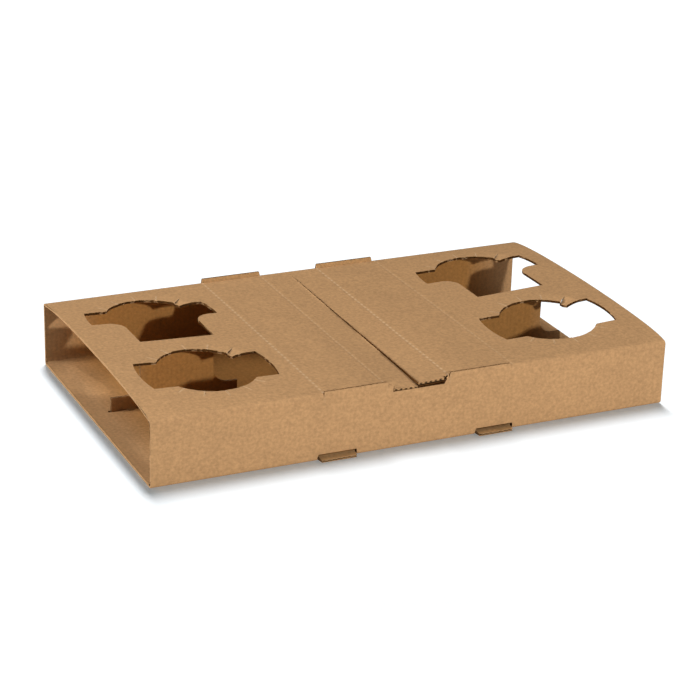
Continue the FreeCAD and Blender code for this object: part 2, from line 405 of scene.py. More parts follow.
def crease_dip(x):
    """A crease is a shallow groove with a low ridge on both sides."""
    dip = 0.0
    for crease in CREASES:
        off = abs(x - crease)
        groove = CREASE_DEPTH * math.exp(-(off / CREASE_SPREAD) ** 2)
        dip += groove - RIDGE_RISE * math.exp(-((off - RIDGE_OFFSET) / RIDGE_SPREAD) ** 2)
    return dip


def top_height(x, y):
    calm = smooth(PANEL, PANEL - SHEET_CALM, abs(y))
    wave = SHEET_WAVE * noise.noise(Vector((x * SHEET_WAVE_SCALE, y * SHEET_WAVE_SCALE, SHEET_SEED)))
    return HEIGHT + crown(x, y) - strip_drop(x, y) - tooth_drop(x, y) + calm * (wave - crease_dip(x))


def place_top(x, y):
    """Beside the folds the slope along the sleeve is left out, so that the sheets meet at one direction."""
    h = SLOPE_STEP
    z = top_height(x, y)
    zx = (top_height(x + h, y) - top_height(x - h, y)) / (2 * h)
    zy = (top_height(x, y + h) - top_height(x, y - h)) / (2 * h)
    if abs(y) > PANEL - FOLD_MARGIN:
        zx = 0.0
    zx = max(min(zx, SLOPE_LIMITS[0]), -SLOPE_LIMITS[0])
    zy = max(min(zy, SLOPE_LIMITS[1]), -SLOPE_LIMITS[1])
    return (x, y, z), (-zx, -zy, 1.0)


def place_base(x, y):
    return (x, y, 0.0), (0.0, 0.0, -1.0)


def bulge(x, z, seed):
    """The walls are not quite flat between their folds."""
    rise = math.sin(math.pi * min(max((z - FOLD_OUTER) / (WALL_TOP - FOLD_OUTER), 0.0), 1.0))
    return rise * (BULGE * noise.noise(Vector((x * BULGE_SCALE, seed, 0.0))) - BULGE_INWARD)


def place_front(x, z):
    return (x, -HALF_Y - bulge(x, z, FRONT_SEED), z), (0.0, -1.0, 0.0)


def place_rear(x, z):
    return (x, HALF_Y + bulge(x, z, REAR_SEED), z), (0.0, 1.0, 0.0)


def place_fold(y, z):
    def place(x, angle):
        t = math.radians(angle)
        c, s = math.cos(t), math.sin(t)
        return (x, y + FOLD_OUTER * c, z + FOLD_OUTER * s), (0.0, c, s)
    return place


def lean_at(x):
    return math.atan2(FLAP_FOOT_Y - FLAP_FOLD_Y, top_height(x, FLAP_FOLD_Y))


def flap_top(x):
    top_z = top_height(x, FLAP_FOLD_Y - FLAP_FOLD_OUTER)
    return top_z - FLAP_FOLD_OUTER + FLAP_FOLD_OUTER * math.sin(lean_at(x))


def place_flap(x, z):
    lean = lean_at(x)
    start_y = FLAP_FOLD_Y - FLAP_FOLD_OUTER + FLAP_FOLD_OUTER * math.cos(lean)
    return (x, start_y + (flap_top(x) - z) * math.tan(lean), z), (0.0, math.cos(lean), math.sin(lean))


def place_flap_fold(x, share):
    lean = math.degrees(lean_at(x))
    t = math.radians(lean + (90.0 - lean) * share)
    top_z = top_height(x, FLAP_FOLD_Y - FLAP_FOLD_OUTER)
    c, s = math.cos(t), math.sin(t)
    r = FLAP_FOLD_OUTER
    return (x, FLAP_FOLD_Y - r + r * c, top_z - r + r * s), (0.0, c, s)


def flap_outline(cx):
    left, right = stem_edges(cx)
    ear_z = top_height(cx, FLAP_FOLD_Y) - (REAR_HOLE_Y + FLAP_EAR_FRONT - FLAP_FOLD_Y)
    reach = ear_x(FLAP_EAR_FRONT)
    points = [(cx - reach, FLAP_FOOT_Z), (cx + reach, FLAP_FOOT_Z), (cx + reach, ear_z)]
    points += sweep(right + FLAP_CORNER, ear_z + FLAP_CORNER, FLAP_CORNER, 270, 180, CORNER_STEPS)
    points += [(x, flap_top(x)) for x in np.linspace(right, left, FLAP_TOP_POINTS)]
    points += sweep(left - FLAP_CORNER, ear_z + FLAP_CORNER, FLAP_CORNER, 0, -90, CORNER_STEPS)
    points += [(cx - reach, ear_z)]
    return points


# The sheets of the pattern. Fine ones, for the liners, have more rows of points than those of the medium.

Sheet = namedtuple("Sheet", "solid holes rows place turn")


def by_kind(pair, fine):
    return pair[0] if fine else pair[1]


def rows_between(low, high, counts, fine):
    """Even rows, and beside the folds at both ends a few more on a fine sheet."""
    near = NEAR_FOLD if fine else ()
    rows = list(np.linspace(low, high, by_kind(counts, fine)))
    return rows + [low + d for d in near] + [high - d for d in near]


def top_sheet(fine):
    notch_l, notch_r = notch_span()
    solid = [rectangle(-HALF_X, HALF_X, -PANEL, PANEL)]
    for a, b in tab_spans():
        solid.append(rectangle(a + TAB_GAP, b - TAB_GAP, -HALF_Y + BOARD + TAB_GAP, -PANEL))
        solid.append(rectangle(a + TAB_GAP, b - TAB_GAP, PANEL, HALF_Y - BOARD - TAB_GAP))
    solid.append(rectangle(notch_l + STRIP_GAP_LEFT, notch_r - STRIP_GAP_RIGHT, STRIP_END, -PANEL))
    gap = [(MID_GAP_X - MID_GAP_FRONT / 2, MID_GAP_TIP), (MID_GAP_X + MID_GAP_FRONT / 2, MID_GAP_TIP)]
    gap += [(MID_GAP_X + MID_GAP_BACK / 2, MID_GAP_REAR), (MID_GAP_X - MID_GAP_BACK / 2, MID_GAP_REAR)]
    holes = [gap]
    rows = rows_between(-PANEL, PANEL, TOP_ROWS, fine) + list(STRIP_ROWS)
    for side in (-1, 1):
        cx = hole_middle(side)
        holes.append(rough(front_hole(cx), side + FRONT_EDGE_SEED))
        holes.append(rough(rear_hole(cx), side + REAR_EDGE_SEED))
        holes += slits(cx, FRONT_HOLE_Y, 1) + slits(cx, FRONT_HOLE_Y, -1) + slits(cx, REAR_HOLE_Y, 1)
        if fine:
            # These rows cover only a part of the columns: a row is then its place, first x and last x.
            x0, x1 = cx + TOOTH_COLUMNS[0], cx + TOOTH_COLUMNS[1]
            for cy, (start, stop) in ((FRONT_HOLE_Y, FRONT_TOOTH_ROWS), (REAR_HOLE_Y, REAR_TOOTH_ROWS)):
                rows += [(v, x0, x1) for v in np.arange(cy + start, cy + stop, TOOTH_ROW_STEP)]
    return Sheet(solid, holes, rows, place_top, 1)


def wall_outlines(tab_rise):
    walls = [rectangle(-HALF_X, HALF_X, FOLD_OUTER, WALL_TOP)]
    top = HEIGHT + tab_rise
    for a, b in tab_spans():
        walls.append([(a, WALL_TOP), (b, WALL_TOP), (b - TAB_LEAN, top), (a + TAB_LEAN, top)])
    return walls


def notch_shift():
    """How far the notch's right end leans out at the top of the wall."""
    return NOTCH_LEAN * (WALL_TOP - NOTCH_FLOOR) / (HEIGHT - NOTCH_FLOOR)


def wall_sheets(fine):
    rows = rows_between(FOLD_OUTER, WALL_TOP, WALL_ROWS, fine)
    notch_l, notch_r = notch_span()
    top = WALL_TOP + PAST
    holes = [[(notch_l, NOTCH_FLOOR), (notch_r, NOTCH_FLOOR), (notch_r + notch_shift(), top), (notch_l, top)]]
    foot = FOLD_OUTER - PAST
    for a, b in tongue_spans():
        holes.append([(a - TONGUE_GAP_LEFT, foot), (b + TONGUE_GAP_RIGHT, foot),
                      (b + TONGUE_TOP_GAP_RIGHT, TONGUE_TOP), (a - TONGUE_TOP_GAP_LEFT, TONGUE_TOP)])
    return [Sheet(wall_outlines(REAR_TAB_RISE), [], rows, place_rear, -1),
            Sheet(wall_outlines(FRONT_TAB_RISE), holes, rows, place_front, 1)]


def base_sheet(fine):
    solid = [rectangle(-HALF_X, HALF_X, -PANEL, PANEL)]
    tip = -HALF_Y - TONGUE_REACH
    for a, b in tongue_spans():
        solid.append([(a, -PANEL), (b, -PANEL), (b - TONGUE_TAPER_RIGHT, tip), (a + TONGUE_TAPER_LEFT, tip)])
    holes = []
    middle = FLAP_FOOT_Y - BOARD / 2
    front, rear = middle - SLOT_WIDTH / 2, middle + SLOT_WIDTH / 2
    w = BAY_WIDTH / 2
    for side in (-1, 1):
        cx = hole_middle(side)
        reach = ear_x(FLAP_EAR_FRONT) + SLOT_END_GAP
        bay = cx + side * BAY_OFFSET
        holes.append([(cx - reach, front), (bay - w, front), (bay - w + BAY_SLOPE, front - BAY_DEPTH),
                      (bay + w - BAY_SLOPE, front - BAY_DEPTH), (bay + w, front), (cx + reach, front),
                      (cx + reach, rear), (cx - reach, rear)])
    return Sheet(solid, holes, rows_between(-PANEL, PANEL, BASE_ROWS, fine), place_base, -1)


def fold_sheets(fine):
    """The four long folds, from the rear of the top round to the rear foot. Their rows are angles."""
    notch_l, notch_r = notch_span()
    edges = ((PANEL, WALL_TOP), (-PANEL, WALL_TOP), (-PANEL, FOLD_OUTER), (PANEL, FOLD_OUTER))
    sheets = []
    for i, (y, z) in enumerate(edges):
        start, stop = 90 * i, 90 * i + 90
        before, after = start - FOLD_PAST, stop + FOLD_PAST
        cuts = []
        if z == WALL_TOP:
            cuts = [rectangle(a, b, before, after) for a, b in tab_spans()]
        if (y, z) == (-PANEL, WALL_TOP):
            cuts.append([(notch_l, before), (notch_r + NOTCH_LEAN, before),
                         (notch_r + notch_shift(), after), (notch_l, after)])
        if (y, z) == (-PANEL, FOLD_OUTER):
            for a, b in tongue_spans():
                cuts.append(rectangle(a - TONGUE_GAP_LEFT, b + TONGUE_GAP_RIGHT, before, after))
        rows = list(range(start, stop + 1, by_kind(FOLD_STEPS, fine)))
        sheets.append(Sheet([rectangle(-HALF_X, HALF_X, start, stop)], cuts, rows, place_fold(y, z), -1))
    return sheets


def flap_sheets():
    sheets = []
    for side in (-1, 1):
        cx = hole_middle(side)
        left, right = stem_edges(cx)
        fold = rectangle(left, right, 0.0, 1.0)
        sheets.append(Sheet([flap_outline(cx)], [], FLAP_ROWS, place_flap, -1))
        sheets.append(Sheet([fold], [], list(np.linspace(0, 1, FLAP_FOLD_ROWS)), place_flap_fold, -1))
    return sheets


def pattern(fine):
    return [top_sheet(fine), *wall_sheets(fine), base_sheet(fine), *fold_sheets(fine), *flap_sheets()]


# Laying a sheet out as triangles between columns of constant x.

def crossings(polygon, x):
    found = []
    for (x0, v0), (x1, v1) in zip(polygon, polygon[1:] + polygon[:1]):
        if (x0 <= x) != (x1 <= x):
            found.append(v0 + (v1 - v0) * (x - x0) / (x1 - x0))
    found.sort()
    return [(found[i], found[i + 1]) for i in range(0, len(found) - 1, 2)]


def spans(solid, holes, x):
    """Intervals of the sheet along the line at x."""
    parts = []
    for polygon, low, high in solid:
        if low < x < high:
            parts += crossings(polygon, x)
    parts.sort()
    joined = []
    for a, b in parts:
        if joined and a <= joined[-1][1] + TINY:
            joined[-1] = (joined[-1][0], max(b, joined[-1][1]))
        else:
            joined.append((a, b))
    for polygon, low, high in holes:
        if low < x < high:
            for a, b in crossings(polygon, x):
                rest = []
                for p, q in joined:
                    if b <= p or a >= q:
                        rest.append((p, q))
                        continue
                    if a > p:
                        rest.append((p, a))
                    if b < q:
                        rest.append((b, q))
                joined = rest
    return [(a, b) for a, b in joined if b - a > TINY]


def with_extent(polygons):
    """Polygons on the grid of the columns, each with its least and greatest x."""
    found = []
    for polygon in polygons:
        points = [(round(x, 2), v) for x, v in polygon]
        found.append((points, min(x for x, v in points), max(x for x, v in points)))
    return found


class Skin:
    """Points of the outer face with their outward directions, welded, and the triangles between them."""

    def __init__(self):
        self.points = []
        self.outward = []
        self.lookup = {}
        self.faces = []

    def vertex(self, point, out):
        x, y, z = point
        kx, ky, kz = round(x / WELD), round(y / WELD), round(z / WELD)
        for i in (0, -1, 1):
            for j in (0, -1, 1):
                for k in (0, -1, 1):
                    found = self.lookup.get((kx + i, ky + j, kz + k))
                    if found is not None:
                        return found
        self.lookup[(kx, ky, kz)] = len(self.points)
        self.points.append(point)
        n = math.sqrt(sum(c * c for c in out))
        self.outward.append([c / n for c in out])
        return len(self.points) - 1

    def triangle(self, a, b, c, turn):
        if a == b or b == c or a == c:
            return
        self.faces.append((a, b, c) if turn > 0 else (a, c, b))

    def add(self, sheet, columns):
        solid, holes = with_extent(sheet.solid), with_extent(sheet.holes)
        eps = 2e-5
        low = min(s[1] for s in solid)
        high = max(s[2] for s in solid)
        xs = [x for x in columns if low - 1e-6 <= x <= high + 1e-6]
        sides = []
        for x0, x1 in zip(xs, xs[1:]):
            middle = spans(solid, holes, (x0 + x1) / 2)
            left = spans(solid, holes, x0 + eps)
            right = spans(solid, holes, x1 - eps)
            if len(left) != len(middle):
                left = middle
            if len(right) != len(middle):
                right = middle
            sides.append((left, right))
        cuts = [[] for _ in xs]
        for i, (left, right) in enumerate(sides):
            cuts[i] += [v for pair in left for v in pair]
            cuts[i + 1] += [v for pair in right for v in pair]
        lines = [self.line(x, values, sheet.rows) for x, values in zip(xs, cuts)]
        for i, (left, right) in enumerate(sides):
            for a, b in zip(left, right):
                one = self.side(xs[i], a, lines[i], sheet.place)
                two = self.side(xs[i + 1], b, lines[i + 1], sheet.place)
                self.zip(one, two, sheet.turn)

    def line(self, x, values, rows):
        """The stations along a column: its crossings with the outlines, and the rows between them."""
        merged = []
        for v in sorted(values):
            if not merged or v - merged[-1] > SAME_ROW:
                merged.append(v)
        for row in rows:
            v, start, stop = row if isinstance(row, tuple) else (row, -HALF_X, HALF_X)
            if start <= x <= stop and all(abs(v - m) > SAME_ROW for m in merged):
                merged.append(v)
        return sorted(merged)

    def side(self, x, pair, line, place):
        slack = SAME_ROW + 0.001
        chosen = [v for v in line if pair[0] - slack <= v <= pair[1] + slack]
        return [(v, self.vertex(*place(x, v))) for v in chosen]

    def zip(self, one, two, turn):
        i = j = 0
        while i < len(one) - 1 or j < len(two) - 1:
            if j == len(two) - 1 or (i < len(one) - 1 and one[i + 1][0] <= two[j + 1][0] + 1e-6):
                self.triangle(one[i][1], two[j][1], one[i + 1][1], turn)
                i += 1
            else:
                self.triangle(one[i][1], two[j][1], two[j + 1][1], turn)
                j += 1


def columns_for(sheets, step):
    wanted = set()
    for sheet in sheets:
        for polygon in sheet.solid + sheet.holes:
            wanted.update(round(x, 2) for x, v in polygon)
    for crease in CREASES:
        wanted.update(round(crease + side * d, 2) for side in (-1, 1) for d in CREASE_COLUMNS)
    wanted = [x for x in wanted if abs(x) <= HALF_X]
    count = int(round(LENGTH / step))
    wanted += [-HALF_X + LENGTH * i / count for i in range(count + 1)]
    kept = []
    for x in sorted(wanted):
        if not kept or x - kept[-1] > SAME_COLUMN:
            kept.append(x)
    return kept


def build_skin(step, fine):
    sheets = pattern(fine)
    columns = columns_for(sheets, step)
    skin = Skin()
    for sheet in sheets:
        skin.add(sheet, columns)
    return skin


# The depths of each layer's two sides below the outer face.

def level(depth):
    def depths(points):
        return np.full(len(points), depth)
    return depths


def bead(points):
    """The crushed board in a fold pushes the inner liner inwards as a low bead."""
    push = np.zeros(len(points))
    for y in (-PANEL, PANEL):
        for z in (FOLD_OUTER, WALL_TOP):
            reach = np.hypot(points[:, 1] - y, points[:, 2] - z)
            along = np.sqrt(np.maximum(reach ** 2 - FOLD_OUTER ** 2, 0.0))
            push = np.maximum(push, BEAD_HEIGHT * np.exp(-(along / BEAD_SPREAD) ** 2))
    return push


def beaded(depth):
    def depths(points):
        return depth + bead(points)
    return depths


def medium_side(side):
    """The near (-1) or far (1) side of the medium. The open ends and the strip ends are crushed flat."""
    def depths(points):
        wave = (BOARD / 2 - LINER - MEDIUM / 2) * np.cos(2 * math.pi * points[:, 0] / FLUTE_PITCH)
        free = BOARD / 2 + wave + side * MEDIUM / 2
        shut = np.abs(points[:, 0]) > HALF_X - HAIR
        shut |= np.abs(points[:, 1] - STRIP_END) < ON_STRIP_END
        return np.where(shut, BOARD / 2 + side * (BOARD / 2 - LINER), free)
    return depths


# Making a layer. Its papers are those of its outer side, its inner side, light cut edges, dark cut edges
# painted with shade, the comb of flutes at the strip ends, painted with the shade of their open flutes, and
# the inner side of the tabs and tongues, painted as lit.

OUTER_SIDE, INNER_SIDE, LIGHT_EDGE, SHADED_EDGE, COMB_EDGE, TAB_SIDE = range(6)

# What tells the places of the cut edges apart.
LOWER_PART = 1
UPPER_PART = 30
ON_STRIP_END = 0.04
ON_NOTCH_FLOOR = 0.05
NEAR_WALL = 0.6
ON_BASE = 0.01
HAIR = 0.1
RAGGED_SCALE = 0.3
RAGGED_SEED = 4.0
RAGGED_LIMIT = 0.2


def edge_paper_at(point):
    """Cut edges are light at the ends and the folds, dark in the base, at the notch floor, and by turns round
    the holes. The dark ones are painted shade, where slots, gaps and torn edges lie in shadow.
    """
    x, y, z = point
    if abs(y - STRIP_END) < ON_STRIP_END and z > UPPER_PART:
        return COMB_EDGE
    if abs(z - NOTCH_FLOOR) < ON_NOTCH_FLOOR and y < -HALF_Y + NEAR_WALL:
        return SHADED_EDGE
    if abs(y) >= PANEL - FOLD_MARGIN or abs(x) >= HALF_X - END_MARGIN:
        return LIGHT_EDGE
    if z < LOWER_PART:
        return SHADED_EDGE
    ragged = noise.noise(Vector((x * RAGGED_SCALE, y * RAGGED_SCALE, RAGGED_SEED)))
    if z > UPPER_PART and ragged < RAGGED_LIMIT:
        return SHADED_EDGE
    return LIGHT_EDGE


# Tabs and tongues get the inner paper painted as lit, the rest of the inside gets the one painted as shaded.
def side_paper_at(face):
    tongue = face[:, 2].max() < ON_BASE and face[:, 1].min() < -PANEL - HAIR
    tab = face[:, 2].min() > WALL_TOP - HAIR and abs(face[0, 1]) > HALF_Y - NEAR_WALL
    return TAB_SIDE if tongue or tab else INNER_SIDE


def layer(name, skin, near, far, papers):
    """One paper layer: the skin at two depths below the outer face, closed along every cut edge."""
    points = np.array(skin.points)
    out = np.array(skin.outward)
    faces = np.array(skin.faces)
    directed = np.concatenate([faces[:, [0, 1]], faces[:, [1, 2]], faces[:, [2, 0]]])
    edges = np.sort(directed, axis=1)
    keys = edges[:, 0].astype(np.int64) * len(points) + edges[:, 1]
    unique, index, counts = np.unique(keys, return_index=True, return_counts=True)
    rim = directed[index[counts == 1]]
    n = len(points)
    upper = points - near(points)[:, None] * out
    lower = points - far(points)[:, None] * out
    a, b = rim[:, 0], rim[:, 1]
    quads = np.stack([b, a, a + n, b + n], axis=1)
    verts = np.concatenate([upper, lower]) * MM
    polygons = faces.tolist() + (faces[:, ::-1] + n).tolist() + quads.tolist()
    mesh = bpy.data.meshes.new(name)
    mesh.from_pydata(verts.tolist(), [], polygons)
    for paper in papers:
        mesh.materials.append(paper)
    mesh.polygons.foreach_set("use_smooth", [True] * len(polygons))
    kinds = [OUTER_SIDE] * len(faces)
    kinds += [side_paper_at(face) for face in points[faces]]
    kinds += [edge_paper_at(point) for point in (points[a] + points[b]) / 2]
    mesh.polygons.foreach_set("material_index", kinds)
    rim_keys = set()
    for p, q in zip(a.tolist(), b.tolist()):
        rim_keys.add((min(p, q), max(p, q)))
        rim_keys.add((min(p + n, q + n), max(p + n, q + n)))
    ends = np.empty(len(mesh.edges) * 2, dtype=np.int32)
    mesh.edges.foreach_get("vertices", ends)
    ends = np.sort(ends.reshape(-1, 2), axis=1)
    sharp = [tuple(e) in rim_keys for e in ends.tolist()]
    mesh.attributes.new("sharp_edge", "BOOLEAN", "EDGE").data.foreach_set("value", sharp)
    mesh.validate()
    mesh.update()
    piece = bpy.data.objects.new(name, mesh)
    bpy.context.scene.collection.objects.link(piece)
    return piece


# Materials. Each noise has its scale, its detail and its stretch.

CLOUDS = (45.0, 3.0, (1, 1, 1))
MOTTLE = (500.0, 2.0, (1, 1, 1))
FIBRES = (900.0, 4.0, (0.35, 1, 1))
SPECKS = (1500.0, 1.0, (1, 1, 1))
NOISE_ROUGHNESS = 0.6
CLOUD_DEPTH = 0.035
MOTTLE_DEPTH = 0.13
FIBRE_DEPTH = 0.055
SPECK_DEPTH = 0.16
SPECK_RANGE = (0.24, 0.3)
MIDDLE_RANGE = (0.3, 0.7)
PAPER_ROUGHNESS = 0.82
SHEEN = 0.44
BUMP_STRENGTH = 0.35
BUMP_DISTANCE = 0.00008
# The lighter colour of raised paper: scuffed fibres along the perforation dashes, and a painted highlight
# along the lips of the slits.
SCUFF_AND_HIGHLIGHT_COLOUR = (0.86, 0.62, 0.38, 1.0)
SCUFF_BUMP = 4.0
# Distance from the middle, in metres, over which the inside turns lighter towards the open ends: painted
# light.
LIT_END_RANGE = (0.135, 0.162)
TOP_RANGE = (0.036, 0.038)

PERF_PITCH = 4.8
PERF_DASH = (0.24, 0.32)
PERF_BETWEEN = 0.12
# Place in X, width and strength of the scuffed dashes along each crease.
PERFORATIONS = (
    (-OUTER_CREASE - 0.2, 0.95, 0.34),
    (HANDLE_X + INNER_CREASE, 0.9, 0.34),
    (HANDLE_X - INNER_CREASE, 0.8, 0.2),
    (OUTER_CREASE, 0.8, 0.16),
)
LIP_HALF_WIDTH = (0.3, 0.6)
LIP_START = (-1.0, -0.8)
LIP_FADE = 0.7
LIP_STRENGTH = 0.36


class Nodes:
    def __init__(self, name):
        self.material = bpy.data.materials.new(name)
        self.material.use_nodes = True
        self.tree = self.material.node_tree
        self.shader = self.tree.nodes["Principled BSDF"]

    def add(self, kind, **values):
        node = self.tree.nodes.new(kind)
        for key, value in values.items():
            setattr(node, key, value)
        return node

    def link(self, a, b):
        self.tree.links.new(a, b)

    def feed(self, socket, value):
        """A socket gets a link or a constant."""
        if isinstance(value, bpy.types.NodeSocket):
            self.link(value, socket)
        else:
            socket.default_value = value

    def maths(self, operation, a, b=0.0):
        node = self.add("ShaderNodeMath", operation=operation)
        self.feed(node.inputs[0], a)
        self.feed(node.inputs[1], b)
        return node.outputs[0]

    def hypot(self, a, b):
        squares = self.maths("ADD", self.maths("MULTIPLY", a, a), self.maths("MULTIPLY", b, b))
        return self.maths("SQRT", squares)

    def noise(self, vector, scale, detail, stretch):
        mapping = self.add("ShaderNodeMapping")
        mapping.inputs["Scale"].default_value = stretch
        self.link(vector, mapping.inputs["Vector"])
        node = self.add("ShaderNodeTexNoise")
        node.inputs["Scale"].default_value = scale
        node.inputs["Detail"].default_value = detail
        node.inputs["Roughness"].default_value = NOISE_ROUGHNESS
        self.link(mapping.outputs[0], node.inputs["Vector"])
        return node.outputs["Fac"]

    def span(self, value, low, high, to_low, to_high):
        node = self.add("ShaderNodeMapRange")
        for socket, number in zip(node.inputs[1:5], (low, high, to_low, to_high)):
            socket.default_value = number
        self.link(value, node.inputs[0])
        return node.outputs[0]

    def mix(self, factor, a, b, blend="MIX"):
        node = self.add("ShaderNodeMix", data_type="RGBA", blend_type=blend)
        self.feed(node.inputs["Factor"], factor)
        self.feed(node.inputs["A"], a)
        self.feed(node.inputs["B"], b)
        return node.outputs["Result"]

    def split(self, vector):
        node = self.add("ShaderNodeSeparateXYZ")
        self.link(vector, node.inputs[0])
        return node.outputs["X"], node.outputs["Y"], node.outputs["Z"]


def dashes(m, where, crease, width, strength):
    """Scuffed dashes along a crease, where the perforating rule has raised the paper."""
    x, y, z = m.split(where)
    off = m.maths("ABSOLUTE", m.maths("SUBTRACT", x, crease * MM))
    line = m.span(off, width / 2 * MM, width * MM, strength, 0.0)
    cycle = m.maths("FRACT", m.maths("MULTIPLY", y, 1 / (PERF_PITCH * MM)))
    beat = m.span(m.maths("ABSOLUTE", m.maths("SUBTRACT", cycle, 0.5)), *PERF_DASH, 1.0, PERF_BETWEEN)
    return m.maths("MULTIPLY", m.maths("MULTIPLY", line, beat), m.span(z, *TOP_RANGE, 0.0, 1.0))


def slit_lips(m, where):
    """The paper stands up a little along the slits round the holes, and catches the light there."""
    x, y, z = m.split(where)
    u = m.maths("SUBTRACT", m.maths("ABSOLUTE", m.maths("SUBTRACT", x, HOLE_SHIFT * MM)), HOLE_X * MM)
    at_rear = m.span(y, -0.0001, 0.0001, 0.0, 1.0)
    y = m.maths("SUBTRACT", y, m.span(at_rear, 0.0, 1.0, FRONT_HOLE_Y * MM, REAR_HOLE_Y * MM))
    v = m.maths("ABSOLUTE", y)
    beyond = m.span(y, -0.0001, 0.0001, 0.0, 1.0)
    front_radius, front_shift = arc_circle(-1)
    rear_radius, rear_shift = arc_circle(1)
    radius = m.span(beyond, 0.0, 1.0, front_radius * MM, rear_radius * MM)
    shift = m.span(beyond, 0.0, 1.0, front_shift * MM, rear_shift * MM)
    along = m.maths("SUBTRACT", m.hypot(u, m.maths("SUBTRACT", v, shift)), radius)
    sector = m.maths("MULTIPLY", m.maths("ARCTAN2", u, v), 1 / math.radians(SLIT_STEP))
    off = m.maths("ABSOLUTE", m.maths("SUBTRACT", sector, m.maths("ROUND", sector)))
    across = m.maths("MULTIPLY", m.maths("MULTIPLY", off, math.radians(SLIT_STEP)), m.hypot(u, v))
    fan = m.maths("ABSOLUTE", sector)
    in_front_of_rear = m.maths("MULTIPLY", at_rear, m.maths("SUBTRACT", 1.0, beyond))
    line = m.span(across, LIP_HALF_WIDTH[0] * MM, LIP_HALF_WIDTH[1] * MM, LIP_STRENGTH, 0.0)
    for mask in (m.span(along, SLIT_LENGTH * LIP_FADE * MM, SLIT_LENGTH * MM, 1.0, 0.0),
                 m.span(along, LIP_START[0] * MM, LIP_START[1] * MM, 0.0, 1.0),
                 m.span(fan, SLIT_COUNT / 2 - 0.1, SLIT_COUNT / 2, 1.0, 0.0),
                 m.span(z, *TOP_RANGE, 0.0, 1.0),
                 m.maths("SUBTRACT", 1.0, in_front_of_rear)):
        line = m.maths("MULTIPLY", line, mask)
    return line


def flute_bands(m, where):
    bands = m.add("ShaderNodeTexWave", wave_type="BANDS", bands_direction="X", wave_profile="SIN")
    bands.inputs["Scale"].default_value = 2 * math.pi / (20 * FLUTE_PITCH * MM)
    bands.inputs["Distortion"].default_value = 0.6
    bands.inputs["Detail"].default_value = 1.0
    bands.inputs["Detail Scale"].default_value = 0.4
    m.link(where, bands.inputs["Vector"])
    return bands.outputs["Fac"]


def kraft(name, colour, flute=0.0, perforated=False, lit_end_colour=None):
    """Unbleached kraft paper: fine fibres, soft clouds, a few specks, and the flutes showing through.

    Flute says how strongly they show. The colour given last is painted light: the paper turns to it towards
    the open ends, where more light gets into the sleeve."""
    m = Nodes(name)
    where = m.add("ShaderNodeTexCoord").outputs["Object"]
    mottle = m.noise(where, *MOTTLE)
    fibres = m.noise(where, *FIBRES)
    flutes = flute_bands(m, where)
    tone = m.span(m.noise(where, *CLOUDS), *MIDDLE_RANGE, -CLOUD_DEPTH, CLOUD_DEPTH)
    tone = m.maths("ADD", tone, m.span(mottle, *MIDDLE_RANGE, -MOTTLE_DEPTH, MOTTLE_DEPTH))
    tone = m.maths("ADD", tone, m.span(fibres, *MIDDLE_RANGE, -FIBRE_DEPTH, FIBRE_DEPTH))
    tone = m.maths("ADD", tone, m.span(flutes, 0.0, 1.0, -flute, flute))
    tone = m.maths("ADD", tone, m.span(m.noise(where, *SPECKS), *SPECK_RANGE, -SPECK_DEPTH, 0.0))
    tone = m.maths("ADD", tone, 1.0)
    height = m.maths("MULTIPLY", fibres, 0.35)
    height = m.maths("ADD", height, m.maths("MULTIPLY", flutes, min(12.0 * flute, 0.4)))
    height = m.maths("ADD", height, m.maths("MULTIPLY", mottle, 0.6))
    base = (*colour, 1.0)
    # Lighter towards the open ends: painted light, where light enters the sleeve.
    if lit_end_colour:
        from_middle = m.maths("ABSOLUTE", m.split(where)[0])
        base = m.mix(m.span(from_middle, *LIT_END_RANGE, 0.0, 1.0), base, (*lit_end_colour, 1.0))
    base = m.mix(1.0, base, tone, "MULTIPLY")
    if perforated:
        # Raised paper is mixed lighter: scuff on the dashes, painted highlight on the slit lips.
        raised = slit_lips(m, where)
        for crease, width, strength in PERFORATIONS:
            raised = m.maths("ADD", raised, dashes(m, where, crease, width, strength))
        base = m.mix(raised, base, SCUFF_AND_HIGHLIGHT_COLOUR)
        height = m.maths("ADD", height, m.maths("MULTIPLY", raised, SCUFF_BUMP))
    bump = m.add("ShaderNodeBump")
    bump.inputs["Strength"].default_value = BUMP_STRENGTH
    bump.inputs["Distance"].default_value = BUMP_DISTANCE
    m.link(height, bump.inputs["Height"])
    m.link(bump.outputs[0], m.shader.inputs["Normal"])
    m.link(base, m.shader.inputs["Base Color"])
    m.shader.inputs["Roughness"].default_value = PAPER_ROUGHNESS
    m.shader.inputs["Specular IOR Level"].default_value = SHEEN * colour[0]
    return m.material


# The floor's colour and glow as the card sees them, and as the camera does.
FLOOR_GIVEN = (0.3, 0.3, 0.3, 1.0)
FLOOR_SEEN = (0.85, 0.875, 0.9, 1.0)
GLOW_SEEN = (0.15, 0.185, 0.2, 1.0)
GLOW_RANGE = (0.3, 0.9)
GLOW_GAIN = 5.0


def paper_floor():
    """A pale floor that keeps the shadow and is white to the horizon for the camera alone."""
    m = Nodes("floor_paper")
    m.tree.nodes.remove(m.shader)
    seen = m.add("ShaderNodeLightPath").outputs["Is Camera Ray"]
    diffuse = m.add("ShaderNodeBsdfDiffuse")
    m.link(m.mix(seen, FLOOR_GIVEN, FLOOR_SEEN), diffuse.inputs["Color"])
    glow = m.add("ShaderNodeEmission")
    m.link(m.mix(seen, FLOOR_GIVEN, GLOW_SEEN), glow.inputs["Color"])
    away = m.add("ShaderNodeVectorMath", operation="LENGTH")
    m.link(m.add("ShaderNodeTexCoord").outputs["Object"], away.inputs[0])
    far = m.span(away.outputs["Value"], *GLOW_RANGE, 0.0, GLOW_GAIN)
    m.link(m.maths("ADD", m.maths("MULTIPLY", far, seen), 1.0), glow.inputs["Strength"])
    both = m.add("ShaderNodeAddShader")
    m.link(diffuse.outputs[0], both.inputs[0])
    m.link(glow.outputs[0], both.inputs[1])
    m.link(both.outputs[0], m.tree.nodes["Material Output"].inputs["Surface"])
    return m.material


